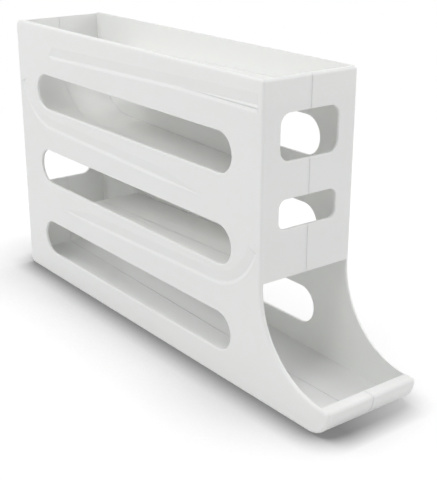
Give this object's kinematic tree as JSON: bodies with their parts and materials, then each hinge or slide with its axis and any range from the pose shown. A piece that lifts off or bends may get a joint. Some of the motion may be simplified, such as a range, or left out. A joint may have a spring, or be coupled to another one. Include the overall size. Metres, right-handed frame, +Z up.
{
  "type": "rolling egg dispenser",
  "caption": "Tall, narrow plastic bin, open on top, in which eggs roll back and forth down sloping ramps to a low tray with a lip; long slots in the sides and windows in the front.",
  "frame": {"origin": "centre of the bounding box in plan, at the height of the surface that the dispenser stands on", "axes": "+X from the back wall to the tray, +Y across the width to the right of someone who faces the tray, +Z up"},
  "size_m": [0.3696, 0.0748, 0.205],
  "materials": {
    "white_plastic": "satin"
  },
  "bodies": {
    "root": {"left_shell": "white_plastic", "right_shell": "white_plastic", "left_top_ramp": "white_plastic", "right_top_ramp": "white_plastic", "left_middle_ramp": "white_plastic", "right_middle_ramp": "white_plastic", "left_lower_ramp": "white_plastic", "right_lower_ramp": "white_plastic"}
  },
  "joints": []
}
